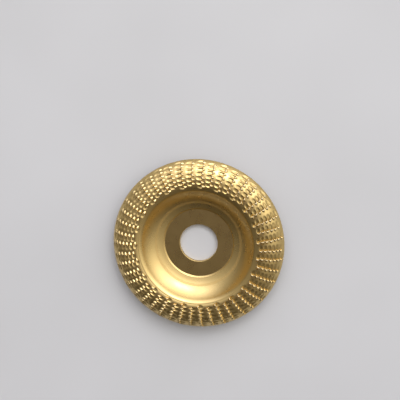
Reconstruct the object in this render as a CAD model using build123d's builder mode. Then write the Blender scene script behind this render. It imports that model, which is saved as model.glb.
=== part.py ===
from build123d import *
from math import cos, radians, sin
import os

# A pressed-steel carving disc for a 100 mm angle grinder, in millimetres.
# The origin is on the disc's axis, on the back face of the hub, which seats on the grinder's flange.
# +Z points away from the grinder, towards the working face.

# --- driving dimensions -------------------------------------------------------------------------

disc_radius = 50.0
bore_radius = 22.23 / 2
sheet = 2.3  # thickness of the steel

hub_radius = 20.2  # edge of the flat floor that the nut clamps
step_width = 0.8  # the short step round the hub, where the press set it down
step_rise = 0.7

bowl_radius = 23.0  # meridian radius of the concave bowl
bowl_start_slope = 20.0  # degrees above the hub's plane
bowl_end_slope = 54.0

crest_radius = 37.0  # where the rounded rim is highest, measured from the axis
edge_slope = 60.0  # degrees below the hub's plane that the rim reaches at its edge
edge_round = 0.4

row_pairs = 23  # long rows that alternate with short ones
first_row_angle = 6.9  # degrees from +X to the first long row
tooth_pitch = 2.45  # along the meridian
long_row_teeth = 7
short_row_teeth = 6
long_row_start = -1.6  # first tooth, as a length along the meridian outward from the crest
short_row_start = -0.2

tooth_base_radius = 1.05
tooth_top_radius = 0.5
tooth_height = 0.85
tooth_root = 0.6  # how far a tooth is carried down before the dish trims it to fit
gouge_radius = 0.95  # the hollow that gives each tooth its crescent cutting edge
gouge_lead = 0.85  # how far the hollow's axis stands in front of the tooth's

# --- the meridian of the working face -----------------------------------------------------------

bowl_foot_radius = hub_radius + step_width
bowl_foot_height = sheet + step_rise


def bowl_point(slope):
    """The point of the bowl where it rises at this slope, in degrees."""
    run = sin(radians(slope)) - sin(radians(bowl_start_slope))
    rise = cos(radians(bowl_start_slope)) - cos(radians(slope))
    return (bowl_foot_radius + bowl_radius * run, bowl_foot_height + bowl_radius * rise)


bowl_lip = bowl_point(bowl_end_slope)
# The bowl runs into the rim through a tighter arc, tangent to the bowl and level at the crest.
shoulder_radius = (crest_radius - bowl_lip[0]) / sin(radians(bowl_end_slope))
crest_height = bowl_lip[1] + shoulder_radius * (1 - cos(radians(bowl_end_slope)))
# Rounding takes a little off the edge's corner, so the corner starts that much further out.
edge_corner_radius = disc_radius + edge_round * (sin(radians(edge_slope)) + cos(radians(edge_slope)) - 1)
rim_radius = (edge_corner_radius - crest_radius) / sin(radians(edge_slope))


def crown_point(length, depth=0.0):
    """The point this far along the meridian outward from the crest, and this deep in the sheet."""
    radius = rim_radius if length > 0 else shoulder_radius
    lean = length / radius
    return (
        crest_radius + (radius - depth) * sin(lean),
        crest_height - radius + (radius - depth) * cos(lean),
    )


shoulder_length = shoulder_radius * radians(bowl_end_slope)
rim_length = rim_radius * radians(edge_slope)


def into_sheet(point, slope):
    """The point of the back face opposite this point of the front face."""
    return (point[0] + sheet * sin(radians(slope)), point[1] - sheet * cos(radians(slope)))


# --- dish_body: hub, step, bowl and rim in one pressing -----------------------------------------

bowl_foot = (bowl_foot_radius, bowl_foot_height)
bowl_middle_slope = (bowl_start_slope + bowl_end_slope) / 2
row_angle = 180.0 / row_pairs
# The revolved faces close on themselves half way between two rows, where no tooth stands.
seam_angle = first_row_angle - row_angle / 2
with BuildPart() as dish_body:
    with BuildSketch(Plane.XZ.rotated((0, 0, seam_angle))):
        with BuildLine():
            # the working face, from the bore outward
            Polyline((bore_radius, sheet), (hub_radius, sheet), bowl_foot)
            ThreePointArc(bowl_foot, bowl_point(bowl_middle_slope), bowl_lip)
            ThreePointArc(bowl_lip, crown_point(-shoulder_length / 2), crown_point(0))
            ThreePointArc(crown_point(0), crown_point(rim_length / 2), crown_point(rim_length))
            # the edge, square across the sheet
            Line(crown_point(rim_length), crown_point(rim_length, sheet))
            # the back face, from the edge inward
            ThreePointArc(
                crown_point(rim_length, sheet),
                crown_point(rim_length / 2, sheet),
                crown_point(0, sheet),
            )
            ThreePointArc(
                crown_point(0, sheet),
                crown_point(-shoulder_length / 2, sheet),
                into_sheet(bowl_lip, bowl_end_slope),
            )
            ThreePointArc(
                into_sheet(bowl_lip, bowl_end_slope),
                into_sheet(bowl_point(bowl_middle_slope), bowl_middle_slope),
                into_sheet(bowl_foot, bowl_start_slope),
            )
            Polyline(
                into_sheet(bowl_foot, bowl_start_slope),
                (hub_radius + sheet * sin(radians(bowl_start_slope)), 0),
                (bore_radius, 0),
                (bore_radius, sheet),
            )
        make_face()
    revolve(axis=Axis.Z)
    rim_edges = dish_body.edges().filter_by(GeomType.CIRCLE).sort_by(SortBy.RADIUS)
    fillet(rim_edges[-1], edge_round)
dish_body.part.label = "dish_body"

# --- tooth rows ---------------------------------------------------------------------------------


def tooth_plane(length):
    """The plane tangent to the rim at this point of the meridian, with its X towards the edge."""
    radius, height = crown_point(length)
    deep_radius, deep_height = crown_point(length, 1.0)
    normal = (radius - deep_radius, 0, height - deep_height)
    return Plane(origin=(radius, 0, height), x_dir=(normal[2], 0, -normal[0]), z_dir=normal)


def raised_tooth(length):
    """A crescent tooth raised from the rim on the XZ plane, cutting towards +Y."""
    flare = (tooth_base_radius - tooth_top_radius) / tooth_height
    root_plane = tooth_plane(length).offset(-tooth_root)
    with BuildPart() as tooth:
        with BuildSketch(root_plane):
            Circle(tooth_base_radius + flare * tooth_root)
        with BuildSketch(root_plane.offset(tooth_root + tooth_height)):
            Circle(tooth_top_radius)
        loft()
        with BuildSketch(root_plane):
            with Locations((0, gouge_lead)):
                Circle(gouge_radius)
        extrude(amount=2 * (tooth_root + tooth_height), mode=Mode.SUBTRACT)
        add(dish_body.part, mode=Mode.SUBTRACT)
    return tooth.part


def row_of_teeth(start, count):
    """Separate teeth, one behind the other along the meridian."""
    with BuildPart() as row:
        for number in range(count):
            add(raised_tooth(start + number * tooth_pitch))
    return row.part


long_row = row_of_teeth(long_row_start, long_row_teeth)
short_row = row_of_teeth(short_row_start, short_row_teeth)

os.makedirs("parts", exist_ok=True)
export_step(dish_body.part, "parts/dish_body.step")

for number in range(2 * row_pairs):
    with BuildPart() as tooth_row:
        with PolarLocations(0, 1, start_angle=first_row_angle + number * row_angle):
            add(long_row if number % 2 == 0 else short_row)
    tooth_row.part.label = f"tooth_row_{number + 1:02d}"
    export_step(tooth_row.part, f"parts/{tooth_row.part.label}.step")
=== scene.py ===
import math
import random

import bpy
import numpy as np
from mathutils import Matrix, Vector


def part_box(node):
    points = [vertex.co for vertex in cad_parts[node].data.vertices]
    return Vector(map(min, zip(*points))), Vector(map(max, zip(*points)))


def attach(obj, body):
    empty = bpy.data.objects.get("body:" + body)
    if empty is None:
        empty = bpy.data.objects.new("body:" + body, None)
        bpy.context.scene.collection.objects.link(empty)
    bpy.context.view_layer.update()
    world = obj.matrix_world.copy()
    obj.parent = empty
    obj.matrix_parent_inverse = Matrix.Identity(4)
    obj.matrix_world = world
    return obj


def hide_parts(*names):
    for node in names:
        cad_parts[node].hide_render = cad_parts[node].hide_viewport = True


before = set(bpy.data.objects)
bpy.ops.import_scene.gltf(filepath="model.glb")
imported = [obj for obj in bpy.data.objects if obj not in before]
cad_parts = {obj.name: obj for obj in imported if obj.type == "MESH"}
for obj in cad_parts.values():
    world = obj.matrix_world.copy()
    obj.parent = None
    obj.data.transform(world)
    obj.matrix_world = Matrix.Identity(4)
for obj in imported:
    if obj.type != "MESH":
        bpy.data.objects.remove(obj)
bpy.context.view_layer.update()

# A carving disc for an angle grinder, resting on the back of its hub. Lengths are in millimetres and become
# metres where a mesh is made. Angles are in radians unless a comment says degrees. The disc's axis is Z, and
# the back of its hub is at height 0.

MM = 0.001
TURN = 2 * math.pi
SEED = 46
rng = random.Random(SEED)

# --- sizes, the same as the CAD model's ---------------------------------------------------------

dish_low, dish_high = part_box("dish_body")
DISC_RADIUS = round((dish_high.x - dish_low.x) / 2 / MM, 1)
BORE_RADIUS = 22.23 / 2
SHEET = 2.3

HUB_RADIUS = 20.2
STEP_WIDTH = 0.8
STEP_RISE = 0.7
BOWL_RADIUS = 23.0
BOWL_START_SLOPE = math.radians(20)
BOWL_END_SLOPE = math.radians(54)
CREST_RADIUS = 37.0
EDGE_SLOPE = math.radians(60)
EDGE_ROUND = 0.4

ROW_PAIRS = 23
ROWS = 2 * ROW_PAIRS
ROW_ANGLE = TURN / ROWS
FIRST_ROW_ANGLE = math.radians(6.9)
TOOTH_PITCH = 2.45
LONG_ROW_TEETH = 7
SHORT_ROW_TEETH = 6
LONG_ROW_START = -1.6
SHORT_ROW_START = -0.2

# --- sizes of what only the visual model has ----------------------------------------------------

RING_RADIUS = 25.0  # middle of the low brushed step that rings the foot of the bowl
RING_WIDTH = 0.6
RING_RISE = 0.13
RING_END = 27.6  # where the bowl is back on its arc
RING_BRUSHED = 0.5  # how far the brushing reaches to each side of the ring's middle

GOUGE_HALF_WIDTH = 1.16  # leaves a thin ridge between neighbours in a row
GOUGE_DEPTH = 0.80  # at its deepest, under the lip
PAN_DEPTH = 0.50  # of the flat floor ahead of that
PAN_EDGE = 0.75  # how much of the hollow's plan its sloping side takes up
GOUGE_LENGTH = 0.60 * ROW_ANGLE  # as an angle round the disc
WALL = 0.22  # how far the steep wall under the cutting edge runs
UNDERCUT = 0.42  # how far behind the lip the hollow starts
LIP_SWEEP = 0.85  # how far the ends of a cutting lip come forward round its hollow

BURR_HEIGHT = 0.85
BURR_HALF_WIDTH = 1.06
BURR_BACK = 1.55  # how far the rounded back reaches behind the lip, at its middle
BURR_BACK_AT_ENDS = 0.25
BURR_COLUMNS = 14
BURR_END = 0.985  # the outermost section, as a share of the half width

# --- the meridian of the working face -----------------------------------------------------------

BOWL_FOOT = (HUB_RADIUS + STEP_WIDTH, SHEET + STEP_RISE)


def smoothstep(share):
    """Runs from 0 to 1, level at both ends."""
    return share * share * (3 - 2 * share)


def bowl_point(slope):
    """The point of the bowl where it rises at this slope."""
    run = math.sin(slope) - math.sin(BOWL_START_SLOPE)
    rise = math.cos(BOWL_START_SLOPE) - math.cos(slope)
    return BOWL_FOOT[0] + BOWL_RADIUS * run, BOWL_FOOT[1] + BOWL_RADIUS * rise


def bowl_slope(radius):
    """The slope of the bowl this far from the axis."""
    return math.asin(math.sin(BOWL_START_SLOPE) + (radius - BOWL_FOOT[0]) / BOWL_RADIUS)


def ring_offset(radius):
    """How far the low step round the bowl's foot lifts or sinks the bowl here."""
    inner = RING_RADIUS - RING_WIDTH / 2
    outer = RING_RADIUS + RING_WIDTH / 2
    if radius < inner:
        return -RING_RISE / 2 * max(0, (radius - BOWL_FOOT[0]) / (inner - BOWL_FOOT[0]))
    if radius > outer:
        return RING_RISE / 2 * max(0, (RING_END - radius) / (RING_END - outer))
    share = min(max((radius - inner) / RING_WIDTH, 0), 1)
    return RING_RISE * (smoothstep(share) - 0.5)


BOWL_LIP = bowl_point(BOWL_END_SLOPE)
SHOULDER_RADIUS = (CREST_RADIUS - BOWL_LIP[0]) / math.sin(BOWL_END_SLOPE)
CREST_HEIGHT = BOWL_LIP[1] + SHOULDER_RADIUS * (1 - math.cos(BOWL_END_SLOPE))
EDGE_CORNER_RADIUS = DISC_RADIUS + EDGE_ROUND * (math.sin(EDGE_SLOPE) + math.cos(EDGE_SLOPE) - 1)
RIM_RADIUS = (EDGE_CORNER_RADIUS - CREST_RADIUS) / math.sin(EDGE_SLOPE)
SHOULDER_LENGTH = SHOULDER_RADIUS * BOWL_END_SLOPE
RIM_LENGTH = RIM_RADIUS * EDGE_SLOPE


def crown_frame(length):
    """Radius, height and outward lean of the working face, this far along the meridian from the crest."""
    length = np.asarray(length, float)
    bend = np.where(length > 0, RIM_RADIUS, SHOULDER_RADIUS)
    lean = length / bend
    return CREST_RADIUS + bend * np.sin(lean), CREST_HEIGHT - bend * (1 - np.cos(lean)), lean


# --- the tooth rows, with the small differences that a punch leaves -----------------------------

LENGTH_SCATTER = 0.08
SHIFT_SCATTER = 0.10
SIZE_RANGE = (0.93, 1.06)
HEIGHT_RANGE = (0.88, 1.08)
OUTER_WEAR = 0.35  # how much lower the outermost tooth of a row stands
ROW_SCATTER = 0.45  # in degrees
LEAN_SCATTER = 0.6  # in degrees


def make_rows():
    """One dict per row: its angle, its lean, and each tooth's place along the meridian and size."""
    made = []
    for number in range(ROWS):
        long_row = number % 2 == 0
        start = LONG_ROW_START if long_row else SHORT_ROW_START
        count = LONG_ROW_TEETH if long_row else SHORT_ROW_TEETH
        teeth = []
        for tooth in range(count):
            wear = OUTER_WEAR * (tooth / (count - 1)) ** 2
            teeth.append(
                {
                    "length": start + tooth * TOOTH_PITCH + rng.uniform(-LENGTH_SCATTER, LENGTH_SCATTER),
                    "shift": rng.uniform(-SHIFT_SCATTER, SHIFT_SCATTER),
                    "size": rng.uniform(*SIZE_RANGE),
                    "height": rng.uniform(*HEIGHT_RANGE) * (1 - wear),
                }
            )
        scatter = math.radians(rng.uniform(-ROW_SCATTER, ROW_SCATTER))
        made.append(
            {
                "name": f"tooth_row_{number + 1:02d}",
                "angle": FIRST_ROW_ANGLE + number * ROW_ANGLE + scatter,
                "lean": math.radians(rng.uniform(-LEAN_SCATTER, LEAN_SCATTER)),
                "teeth": teeth,
            }
        )
    return made


rows = make_rows()

LEAN_MIDDLE = 6.0  # the meridian length about which a row leans
LEAN_SPAN = 16  # the meridian length over which it leans by its full angle
CURL_START = 0.8  # inward of this meridian length a row curls back
CURL_SPAN = 2.4
CURL = math.radians(0.9)


def row_line(row, length):
    """The angle of the row's line at this length along the meridian."""
    inner = np.clip((CURL_START - np.asarray(length, float)) / CURL_SPAN, 0, 1)
    leaning = row["lean"] * (np.asarray(length, float) - LEAN_MIDDLE) / LEAN_SPAN
    return row["angle"] + leaning - CURL * inner**2


# --- meshes -------------------------------------------------------------------------------------


def new_object(name, points, faces, marks):
    """A smooth mesh from points in millimetres, with a number for each point under each mark's name."""
    mesh = bpy.data.meshes.new(name)
    mesh.from_pydata([tuple(p) for p in np.asarray(points) * MM], [], faces)
    mesh.update()
    mesh.shade_smooth()
    for key, values in marks.items():
        layer = mesh.attributes.new(key, "FLOAT", "POINT")
        layer.data.foreach_set("value", np.asarray(values, np.float32))
    piece = bpy.data.objects.new(name, mesh)
    bpy.context.scene.collection.objects.link(piece)
    return piece


# The tooth band's columns, as shares of the way from one row to the next: close together at the wall.
COLUMN_SHARES = (
    -0.20, -0.13, -0.07, -0.03, -0.005, 0.02, 0.045, 0.075, 0.11, 0.15,
    0.20, 0.25, 0.30, 0.36, 0.42, 0.48, 0.55, 0.62, 0.69, 0.75,
)
FINE = len(COLUMN_SHARES)
BAND_START = -3.4
BAND_END = 15.3
BAND_STEPS = 72
BAND_FADE = 0.5  # the hollows fade out over this length at the band's inner side
NEAR_ACROSS = 1.05  # a hollow is worked out only within these shares of its width and length
NEAR_BEHIND = -0.2
NEAR_AHEAD = 1.1


def gouge_depth(length, angle, radius):
    """Depth of the hollows that the teeth are raised from, on a grid of the working face."""
    depth = np.zeros_like(angle)
    for row in rows:
        for tooth in row["teeth"]:
            line = row_line(row, tooth["length"])
            ahead = (angle - line + math.pi) % TURN - math.pi
            reach = ahead / GOUGE_LENGTH
            along = ahead * radius - tooth["shift"] + UNDERCUT
            across = (length - tooth["length"]) / (GOUGE_HALF_WIDTH * tooth["size"])
            near = (np.abs(across) < NEAR_ACROSS) & (reach > NEAR_BEHIND) & (reach < NEAR_AHEAD)
            # in plan, half of a rounded square: widest under the lip, and closed where it runs out ahead
            inside = np.clip(1 - np.abs(across) ** 3 - np.clip(reach, 0, 1) ** 3, 0, 1)
            pan = PAN_DEPTH * np.minimum(inside / PAN_EDGE, 1)
            deep = (GOUGE_DEPTH - PAN_DEPTH) * inside * np.clip(1 - 2 * reach, 0, 1)
            start = LIP_SWEEP * across**2
            wall = smoothstep(np.clip((along - start) / WALL, 0, 1))
            one = tooth["height"] * wall * (pan + deep)
            depth = np.where(near, np.maximum(depth, one), depth)
    return depth


# The worn edge of the bore on both faces: distance out from its wall, and depth in from the face.
BORE_EDGE = ((0.02, 0.35), (0.06, 0.14), (0.22, 0.02))
BORE_EDGE_END = 0.45
STEP_SPREAD = 0.1  # how far the rounded step reaches past its foot and its top
# Points across the low step, as shares of its width to each side of its middle.
RING_SHARES = (-0.8, -0.6, -0.5, -0.4, -0.25, -0.08, 0.08, 0.25, 0.4, 0.5, 0.6, 0.8)
HUB_SHARES = np.linspace(0.08, 0.97, 10)
STEP_SHARES = np.linspace(0, 1, 9)
FOOT_POINTS = 7
BOWL_POINTS = 26
SHOULDER_POINTS = 4


def front_profile():
    """Points of the working face from the bore to the start of the tooth band, with small press marks."""
    points = [(BORE_RADIUS + out, SHEET - deep) for out, deep in BORE_EDGE]
    points.append((BORE_RADIUS + BORE_EDGE_END, SHEET))
    for share in HUB_SHARES:
        points.append((BORE_RADIUS + share * (HUB_RADIUS - BORE_RADIUS), SHEET))
    for share in STEP_SHARES:
        radius = HUB_RADIUS - STEP_SPREAD + share * (STEP_WIDTH + 2 * STEP_SPREAD)
        points.append((radius, SHEET + STEP_RISE * smoothstep(share)))
    near_ring = [RING_RADIUS + RING_WIDTH * share for share in RING_SHARES]
    radii = list(np.linspace(BOWL_FOOT[0], near_ring[0], FOOT_POINTS)[1:-1]) + near_ring
    radii += list(np.linspace(near_ring[-1], BOWL_LIP[0], BOWL_POINTS)[1:])
    for radius in radii:
        points.append((radius, bowl_point(bowl_slope(radius))[1] + ring_offset(radius)))
    for length in np.linspace(-SHOULDER_LENGTH, BAND_START, SHOULDER_POINTS)[1:]:
        radius, height, _ = crown_frame(length)
        points.append((float(radius), float(height)))
    return points


EDGE_TURNS = np.linspace(0.2, 1, 4)  # shares of the quarter turn round the outer edge
INNER_BREAK = 0.08  # the broken corner between the edge and the back face
INNER_EDGE = 0.3  # how far from that corner the nearest points of both faces stand
BACK_RIM_POINTS = 18
BACK_SHOULDER_POINTS = 7
BACK_BOWL_POINTS = 16
BACK_FOOT_SHARES = np.linspace(0.15, 1, 6)
BACK_FOOT_INSET = 0.25
BACK_HUB_SHARES = np.linspace(0.1, 0.95, 8)


def back_profile():
    """Points of the back face from the edge in to the bore."""
    points = []
    corner_radius, corner_height, _ = crown_frame(RIM_LENGTH)
    out = np.array([math.cos(EDGE_SLOPE), -math.sin(EDGE_SLOPE)])
    into = np.array([-math.sin(EDGE_SLOPE), -math.cos(EDGE_SLOPE)])
    corner = np.array([float(corner_radius), float(corner_height)])
    centre = corner - out * EDGE_ROUND + into * EDGE_ROUND
    for turn in EDGE_TURNS * math.pi / 2:
        points.append(centre - into * EDGE_ROUND * math.cos(turn) + out * EDGE_ROUND * math.sin(turn))
    points.append(corner + into * (SHEET / 2))
    points.append(corner + into * (SHEET - INNER_EDGE))
    points.append(corner + into * (SHEET - INNER_BREAK) - out * INNER_BREAK)
    back_lengths = list(np.linspace(RIM_LENGTH - INNER_EDGE, 0, BACK_RIM_POINTS))
    back_lengths += list(np.linspace(0, -SHOULDER_LENGTH, BACK_SHOULDER_POINTS)[1:])
    for length in back_lengths:
        radius, height, lean = crown_frame(length)
        points.append((float(radius - SHEET * np.sin(lean)), float(height - SHEET * np.cos(lean))))
    for slope in np.linspace(BOWL_END_SLOPE, BOWL_START_SLOPE, BACK_BOWL_POINTS)[1:]:
        radius, height = bowl_point(slope)
        points.append((radius + SHEET * math.sin(slope), height - SHEET * math.cos(slope)))
    last_radius, last_height = points[-1]
    foot = HUB_RADIUS + SHEET * math.sin(BOWL_START_SLOPE)
    for share in BACK_FOOT_SHARES:
        radius = last_radius + (foot - BACK_FOOT_INSET - last_radius) * share
        points.append((radius, last_height * (1 - smoothstep(share))))
    for share in BACK_HUB_SHARES:
        points.append((foot + (BORE_RADIUS - foot) * share, 0.0))
    points += [(BORE_RADIUS + away, deep) for away, deep in reversed(BORE_EDGE)]
    return [tuple(map(float, p)) for p in points]


class Skin:
    """The dish's closed skin, gathered one ring of points after another."""

    def __init__(self):
        self.points = []
        self.hollow = []
        self.brushed = []
        self.faces = []
        self.total = 0

    def add(self, points, hollow, brushed):
        """Adds points with their marks, and returns their numbers."""
        first = self.total
        self.points.append(points)
        self.hollow.append(hollow)
        self.brushed.append(np.full(len(points), brushed))
        self.total += len(points)
        return list(range(first, self.total))

    def add_ring(self, radius, height, angles, brushed=0.0):
        heights = np.full(len(angles), height)
        ring = np.stack([radius * np.cos(angles), radius * np.sin(angles), heights], 1)
        return self.add(ring, np.zeros(len(angles)), brushed)

    def join(self, ring, other, outward):
        """Joins two rings that have the same number of points."""
        n = len(ring)
        for k in range(n):
            quad = (ring[k], other[k], other[(k + 1) % n], ring[(k + 1) % n])
            self.faces.append(quad if outward else tuple(reversed(quad)))

    def join_half(self, fine, coarse, outward):
        """Joins a ring to one with half as many points: three triangles to a cell."""
        n = len(coarse)
        for k in range(n):
            a, b, c = fine[2 * k], fine[2 * k + 1], fine[(2 * k + 2) % (2 * n)]
            p, q = coarse[k], coarse[(k + 1) % n]
            for triangle in ((p, a, b), (p, b, q), (q, b, c)):
                self.faces.append(triangle if outward else tuple(reversed(triangle)))


# The rings, counted from 0 beside the tooth band, at which the number of columns halves.
FRONT_HALVINGS = (1, 2)
BACK_HALVINGS = (1, 3)


def band_angles(lengths):
    """The angle of each point of the tooth band's grid: its columns follow the rows."""
    angles = np.zeros((BAND_STEPS, ROWS * FINE))
    for j, length in enumerate(lengths):
        lines = np.array([row_line(row, length) for row in rows] + [row_line(rows[0], length) + TURN])
        before = np.concatenate([[lines[-2] - TURN], lines[:-2]])
        for i, share in enumerate(COLUMN_SHARES):
            gap = lines[:-1] - before if share < 0 else lines[1:] - lines[:-1]
            angles[j, i::FINE] = lines[:-1] + share * gap
    return angles


def build_dish():
    """The whole pressing as one closed skin, with a hollow in front of every tooth."""
    lengths = np.linspace(BAND_START, BAND_END, BAND_STEPS)
    columns = ROWS * FINE
    angles = band_angles(lengths)
    radius, height, lean = (np.repeat(v[:, None], columns, axis=1) for v in crown_frame(lengths))
    depth = gouge_depth(np.repeat(lengths[:, None], columns, axis=1), angles, radius)
    depth = depth * np.clip((lengths - BAND_START) / BAND_FADE, 0, 1)[:, None]
    radial = radius - depth * np.sin(lean)
    upward = height - depth * np.cos(lean)
    band = np.stack([radial * np.cos(angles), radial * np.sin(angles), upward], 2).reshape(-1, 3)

    skin = Skin()
    # the hollow mark grows with a point's depth in its hollow; the dish's material paints those points
    # darker, as painted shade
    numbers = skin.add(band, np.clip(depth.reshape(-1) / GOUGE_DEPTH, 0, 1) ** 2, 0.0)
    band_rings = [numbers[j * columns : (j + 1) * columns] for j in range(BAND_STEPS)]
    for inner, outer in zip(band_rings, band_rings[1:]):
        skin.join(inner, outer, True)

    # inward from the band to the bore
    ring_angles = angles[0]
    previous = band_rings[0]
    for number, (r, z) in enumerate(reversed(front_profile())):
        if number in FRONT_HALVINGS:
            ring_angles = ring_angles[::2]
            new = skin.add_ring(r, z, ring_angles)
            skin.join_half(previous, new, True)
        else:
            new = skin.add_ring(r, z, ring_angles, 1.0 if abs(r - RING_RADIUS) < RING_BRUSHED else 0.0)
            skin.join(previous, new, False)
        previous = new
    bore_front = previous

    # outward from the band, round the edge and in along the back to the bore
    ring_angles = angles[-1]
    previous = band_rings[-1]
    for number, (r, z) in enumerate(back_profile()):
        if number in BACK_HALVINGS:
            ring_angles = ring_angles[::2]
            new = skin.add_ring(r, z, ring_angles)
            skin.join_half(previous, new, False)
        else:
            new = skin.add_ring(r, z, ring_angles)
            skin.join(previous, new, True)
        previous = new

    # the bore's wall closes the skin
    skin.join(previous, bore_front, True)
    marks = {"hollow": np.concatenate(skin.hollow), "ring": np.concatenate(skin.brushed)}
    return new_object("gold_dish", np.concatenate(skin.points), skin.faces, marks)


# --- raised teeth -------------------------------------------------------------------------------

BURR_FOOT = -0.25  # height of the rounded back's foot, which is sunk in the dish
# The rounded back: share of the way from the lip to the back's foot, and share of the rise.
BURR_BACK_LINE = ((0.96, 0.04), (0.82, 0.20), (0.62, 0.46), (0.42, 0.71), (0.22, 0.92))
# The lip and the hollowed front under it: distance ahead of the lip's line, share of the rise, and lift.
BURR_LIP_LINE = (
    (-0.19, 0.985, 0.0),
    (-0.07, 0.965, 0.0),
    (0.01, 0.87, 0.0),
    (-0.02, 0.72, 0.0),
    (-0.16, 0.44, -0.02),
    (-0.40, 0.0, -0.15),
    (-0.48, 0.0, -0.66),
)
LIP_FIRST = 1 + len(BURR_BACK_LINE)  # the first point of a section that belongs to the lip
SECTION_POINTS = LIP_FIRST + len(BURR_LIP_LINE)
RISE_ROUNDNESS = 0.55  # the lower, the squarer the arch of the lip
SKEW = 0.16


def burr_section(share, scale):
    """A closed loop of (distance ahead, height) across the tooth, from the back's foot over the lip."""
    dome = 1 - share**2
    rise = BURR_HEIGHT * scale * dome**RISE_ROUNDNESS
    back = BURR_BACK_AT_ENDS + (BURR_BACK - BURR_BACK_AT_ENDS) * dome**0.5
    lip = LIP_SWEEP * share**2
    section = [(lip - back, BURR_FOOT)]
    section += [(lip - back * way, rise * part) for way, part in BURR_BACK_LINE]
    section += [(lip + ahead, rise * part + lift) for ahead, part, lift in BURR_LIP_LINE]
    return section


def build_row(row):
    """One row's teeth: a crescent lip round the deep end of each hollow."""
    points, edge, faces = [], [], []
    for tooth in row["teeth"]:
        radius, height, lean = (float(v) for v in crown_frame(tooth["length"]))
        turn = float(row_line(row, tooth["length"])) + tooth["shift"] / radius
        radial = Vector((math.cos(turn), math.sin(turn), 0))
        ahead = Vector((-math.sin(turn), math.cos(turn), 0))
        normal = radial * math.sin(lean) + Vector((0, 0, math.cos(lean)))
        outward = radial * math.cos(lean) - Vector((0, 0, math.sin(lean)))
        seat = radial * radius + Vector((0, 0, height))
        bend = RIM_RADIUS if tooth["length"] > 0 else SHOULDER_RADIUS
        size = tooth["size"]
        skew = rng.uniform(-SKEW, SKEW)
        first = len(points)
        for column in range(BURR_COLUMNS + 1):
            share = BURR_END * math.sin(math.pi / 2 * (-1 + 2 * column / BURR_COLUMNS))
            for number, (along, up) in enumerate(burr_section(share, tooth["height"])):
                b = share * BURR_HALF_WIDTH * size
                a = along * size + skew * b
                drop = b * b / (2 * bend) + a * a / (2 * radius) * math.sin(lean)
                points.append(seat + ahead * a + outward * b + normal * (up - drop))
                edge.append(1.0 if number >= LIP_FIRST else 0.0)
        for column in range(BURR_COLUMNS):
            start = first + column * SECTION_POINTS
            for number in range(SECTION_POINTS):
                p = start + number
                q = start + (number + 1) % SECTION_POINTS
                faces.append((p, q, q + SECTION_POINTS, p + SECTION_POINTS))
        last = first + BURR_COLUMNS * SECTION_POINTS
        faces.append(tuple(first + number for number in reversed(range(SECTION_POINTS))))
        faces.append(tuple(last + number for number in range(SECTION_POINTS)))
    return new_object("burrs_" + row["name"][-2:], points, faces, {"edge": edge})


# --- materials ----------------------------------------------------------------------------------

# Scales are per metre.
CLOUD_SCALE = 70
SMEAR_SCALE = 240
TURNED_SCALE = 5200
GRAIN_SCALE = 1500
FLOOR_SCALE = 9
CLOUD_RANGE = (0.32, 0.68)
SMEAR_RANGE = (0.3, 0.7)
FLOOR_RANGE = (0.3, 0.7)
FLOOR_DARK = (0.59, 0.59, 0.555)
FLOOR_LIGHT = (0.63, 0.63, 0.595)
FLOOR_ROUGHNESS = 0.75
SMOOTHER = 0.02  # how far the smears take the roughness down and up
ROUGHER = 0.03
RING_ROUGHNESS = 0.58
TURNED_DETAIL = 3
TURNED_STRENGTH = 0.08
TURNED_DEPTH = 0.03 * MM
PEEL_STRENGTH = 0.05
PEEL_DEPTH = 0.04 * MM


class Material:
    """A node material under construction."""

    def __init__(self, name):
        self.data = bpy.data.materials.new(name)
        self.data.use_nodes = True
        self.tree = self.data.node_tree
        self.shader = self.tree.nodes["Principled BSDF"]
        self.place = self.node("ShaderNodeTexCoord").outputs["Object"]

    def node(self, kind, **settings):
        made = self.tree.nodes.new(kind)
        for key, value in settings.items():
            setattr(made, key, value)
        return made

    def link(self, start, end):
        self.tree.links.new(start, end)

    def noise(self, scale, detail=2):
        """Noise over the object's own coordinates."""
        made = self.node("ShaderNodeTexNoise")
        made.inputs["Scale"].default_value = scale
        made.inputs["Detail"].default_value = detail
        self.link(self.place, made.inputs["Vector"])
        return made.outputs["Fac"]

    def ramp(self, factor, span, dark, light):
        """A colour that runs from dark to light over this span of the factor."""
        made = self.node("ShaderNodeValToRGB")
        for element, place, colour in zip(made.color_ramp.elements, span, (dark, light)):
            element.position = place
            element.color = (*colour, 1)
        self.link(factor, made.inputs["Fac"])
        return made.outputs["Color"]

    def mix(self, kind, factor, value, other):
        """From the linked value to the fixed other one."""
        made = self.node("ShaderNodeMix", data_type=kind)
        made.inputs["B"].default_value = other
        self.link(value, made.inputs["A"])
        self.link(factor, made.inputs["Factor"])
        return made.outputs["Result"]

    def mark(self, name):
        """The number that the mesh carries under this name."""
        return self.node("ShaderNodeAttribute", attribute_name=name).outputs["Fac"]

    def bump(self, height, strength, depth):
        made = self.node("ShaderNodeBump")
        made.inputs["Strength"].default_value = strength
        made.inputs["Distance"].default_value = depth
        self.link(height, made.inputs["Height"])
        return made


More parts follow.
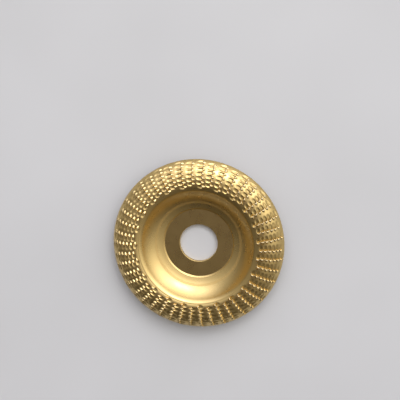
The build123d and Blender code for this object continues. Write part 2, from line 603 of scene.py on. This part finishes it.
def gold_plate(name, light, dark, roughness, mark, shade_and_wear_colour, mark_roughness):
    """Hard gold-coloured plating on pressed steel, with faint turning marks and cloudiness; where the mesh is
    marked, a fixed colour takes over: painted shade in the dish's hollows, paler worn lips on the teeth.
    """
    gold = Material(name)
    gold.shader.inputs["Metallic"].default_value = 1.0
    marked = gold.mark(mark)
    tint = gold.ramp(gold.noise(CLOUD_SCALE, detail=4), CLOUD_RANGE, dark, light)
    # where marked, the colour is swapped for a fixed one: painted shade in the dish's hollows, a paler worn
    # colour on the teeth's lips
    gold.link(gold.mix("RGBA", marked, tint, (*shade_and_wear_colour, 1)), gold.shader.inputs["Base Color"])
    # roughness: smeared, and different where marked and on the brushed ring, which only the dish has
    spread = gold.node("ShaderNodeMapRange")
    spread.inputs["From Min"].default_value = SMEAR_RANGE[0]
    spread.inputs["From Max"].default_value = SMEAR_RANGE[1]
    spread.inputs["To Min"].default_value = roughness - SMOOTHER
    spread.inputs["To Max"].default_value = roughness + ROUGHER
    gold.link(gold.noise(SMEAR_SCALE, detail=3), spread.inputs["Value"])
    rough = gold.mix("FLOAT", marked, spread.outputs["Result"], mark_roughness)
    ringed = gold.mix("FLOAT", gold.mark("ring"), rough, RING_ROUGHNESS)
    gold.link(ringed, gold.shader.inputs["Roughness"])
    # turning marks: noise that depends on the distance from the axis alone, under a fine grain
    split = gold.node("ShaderNodeSeparateXYZ")
    gold.link(gold.place, split.inputs["Vector"])
    flat = gold.node("ShaderNodeCombineXYZ")
    gold.link(split.outputs["X"], flat.inputs["X"])
    gold.link(split.outputs["Y"], flat.inputs["Y"])
    away = gold.node("ShaderNodeVectorMath", operation="LENGTH")
    gold.link(flat.outputs["Vector"], away.inputs[0])
    turned = gold.node("ShaderNodeTexNoise", noise_dimensions="1D")
    turned.inputs["Scale"].default_value = TURNED_SCALE
    turned.inputs["Detail"].default_value = TURNED_DETAIL
    gold.link(away.outputs["Value"], turned.inputs["W"])
    lines = gold.bump(turned.outputs["Fac"], TURNED_STRENGTH, TURNED_DEPTH)
    peel = gold.bump(gold.noise(GRAIN_SCALE), PEEL_STRENGTH, PEEL_DEPTH)
    gold.link(lines.outputs["Normal"], peel.inputs["Normal"])
    gold.link(peel.outputs["Normal"], gold.shader.inputs["Normal"])
    return gold.data


def floor_paint():
    paint = Material("floor_pale")
    tint = paint.ramp(paint.noise(FLOOR_SCALE), FLOOR_RANGE, FLOOR_DARK, FLOOR_LIGHT)
    paint.link(tint, paint.shader.inputs["Base Color"])
    paint.shader.inputs["Roughness"].default_value = FLOOR_ROUGHNESS
    return paint.data


# the dish's hollows get a dark brown: painted shade in front of each tooth
dish_gold = gold_plate(
    "dish_gold",
    light=(0.61, 0.445, 0.175),
    dark=(0.57, 0.41, 0.155),
    roughness=0.28,
    mark="hollow",
    shade_and_wear_colour=(0.32, 0.22, 0.075),
    mark_roughness=0.33,
)
tooth_gold = gold_plate(
    "tooth_gold",
    light=(0.74, 0.56, 0.25),
    dark=(0.66, 0.49, 0.21),
    roughness=0.27,
    mark="edge",
    shade_and_wear_colour=(0.78, 0.67, 0.43),
    mark_roughness=0.24,
)

# --- pieces -------------------------------------------------------------------------------------

dish = build_dish()
dish.data.materials.append(dish_gold)
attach(dish, "root")
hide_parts("dish_body")

for row in rows:
    teeth = build_row(row)
    teeth.data.materials.append(tooth_gold)
    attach(teeth, "root")
    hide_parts(row["name"])

# --- floor, light and camera: lengths in metres -------------------------------------------------

FLOOR_HALF = 1.5
FLOOR_DROP = 0.00002  # keeps the floor just clear of the hub
corners = [(-1, -1), (1, -1), (1, 1), (-1, 1)]
floor_mesh = bpy.data.meshes.new("floor")
floor_mesh.from_pydata([(FLOOR_HALF * x, FLOOR_HALF * y, 0) for x, y in corners], [], [(0, 1, 2, 3)])
floor = bpy.data.objects.new("floor", floor_mesh)
bpy.context.scene.collection.objects.link(floor)
floor.data.materials.append(floor_paint())
floor.location.z = -FLOOR_DROP


def towards(azimuth, zenith):
    """The direction at this azimuth, from +X towards +Y, and this angle from straight up, in degrees."""
    a = math.radians(azimuth)
    z = math.radians(zenith)
    return Vector((math.cos(a) * math.sin(z), math.sin(a) * math.sin(z), math.cos(z)))


LAMP_WAY = towards(72, 52)
LAMP_DISTANCE = 0.9
LAMP_SIZE = (0.35, 0.25)
LAMP_POWER = 1.6
lamp = bpy.data.lights.new("window", "AREA")
lamp.shape = "RECTANGLE"
lamp.size = LAMP_SIZE[0]
lamp.size_y = LAMP_SIZE[1]
lamp.energy = LAMP_POWER
soft_box = bpy.data.objects.new("window", lamp)
soft_box.location = LAMP_WAY * LAMP_DISTANCE
soft_box.rotation_mode = "QUATERNION"
soft_box.rotation_quaternion = LAMP_WAY.to_track_quat("Z", "Y")
bpy.context.scene.collection.objects.link(soft_box)

# The room is a soft sky: broad lobes of light over a dim warm ground tone.
# Each lobe: azimuth and angle from the zenith in degrees, narrowness, and its colour times its strength.
SKY_LOBES = (
    (70, 54, 2.9, (1.75, 1.76, 1.88)),
    (45, 58, 16.0, (1.2, 1.22, 1.65)),
    (100, 60, 14.0, (1.5, 1.52, 2.1)),
    (20, 66, 6.0, (0.75, 0.74, 0.72)),
    (165, 55, 4.0, (0.16, 0.15, 0.14)),
    (335, 50, 4.0, (0.24, 0.22, 0.20)),
    (70, 4, 14.0, (-0.56, -0.58, -0.58)),
)
SKY_GROUND = (0.05, 0.04, 0.028)
SKY_DARKEST = (0.02, 0.015, 0.01)


def build_sky():
    world = bpy.data.worlds.new("room")
    bpy.context.scene.world = world
    world.use_nodes = True
    sky = world.node_tree

    def math_node(kind, operation, first, *others):
        """Links the first input and sets or links the others."""
        made = sky.nodes.new(kind)
        made.operation = operation
        sky.links.new(first, made.inputs[0])
        for number, other in enumerate(others, 1):
            if isinstance(other, bpy.types.NodeSocket):
                sky.links.new(other, made.inputs[number])
            else:
                made.inputs[number].default_value = other
        return made

    direction = sky.nodes.new("ShaderNodeTexCoord").outputs["Generated"]
    light = SKY_GROUND
    for azimuth, zenith, narrow, colour in SKY_LOBES:
        along = math_node("ShaderNodeVectorMath", "DOT_PRODUCT", direction, towards(azimuth, zenith))
        power = math_node("ShaderNodeMath", "MULTIPLY_ADD", along.outputs["Value"], narrow, -narrow)
        lobe = math_node("ShaderNodeMath", "EXPONENT", power.outputs["Value"])
        added = math_node("ShaderNodeVectorMath", "MULTIPLY_ADD", lobe.outputs["Value"], colour, light)
        light = added.outputs["Vector"]
    kept = math_node("ShaderNodeVectorMath", "MAXIMUM", light, SKY_DARKEST)
    sky.links.new(kept.outputs["Vector"], sky.nodes["Background"].inputs["Color"])


build_sky()

# The camera leans from the disc's axis towards the window, and looks at a point level with the hub's face.
CAMERA_PLACE = Vector((46.2, 90.3, 337.5)) * MM
CAMERA_AIM = Vector((10.2, 35.2, 2.3)) * MM
SENSOR_WIDTH = 36
FOCAL_LENGTH = 53.4
LENS_SHIFT = -0.04
camera_data = bpy.data.cameras.new("camera")
camera_data.sensor_width = SENSOR_WIDTH
camera_data.lens = FOCAL_LENGTH
camera_data.shift_x = LENS_SHIFT
camera_data.shift_y = LENS_SHIFT
camera = bpy.data.objects.new("camera", camera_data)
back = (CAMERA_PLACE - CAMERA_AIM).normalized()
right = Vector((0, 1, 0)).cross(back).normalized()
up = back.cross(right)
camera.matrix_world = Matrix.Translation(CAMERA_PLACE) @ Matrix((right, up, back)).transposed().to_4x4()
bpy.context.scene.collection.objects.link(camera)
bpy.context.scene.camera = camera

scene = bpy.context.scene
scene.view_settings.view_transform = "Standard"
scene.view_settings.look = "None"
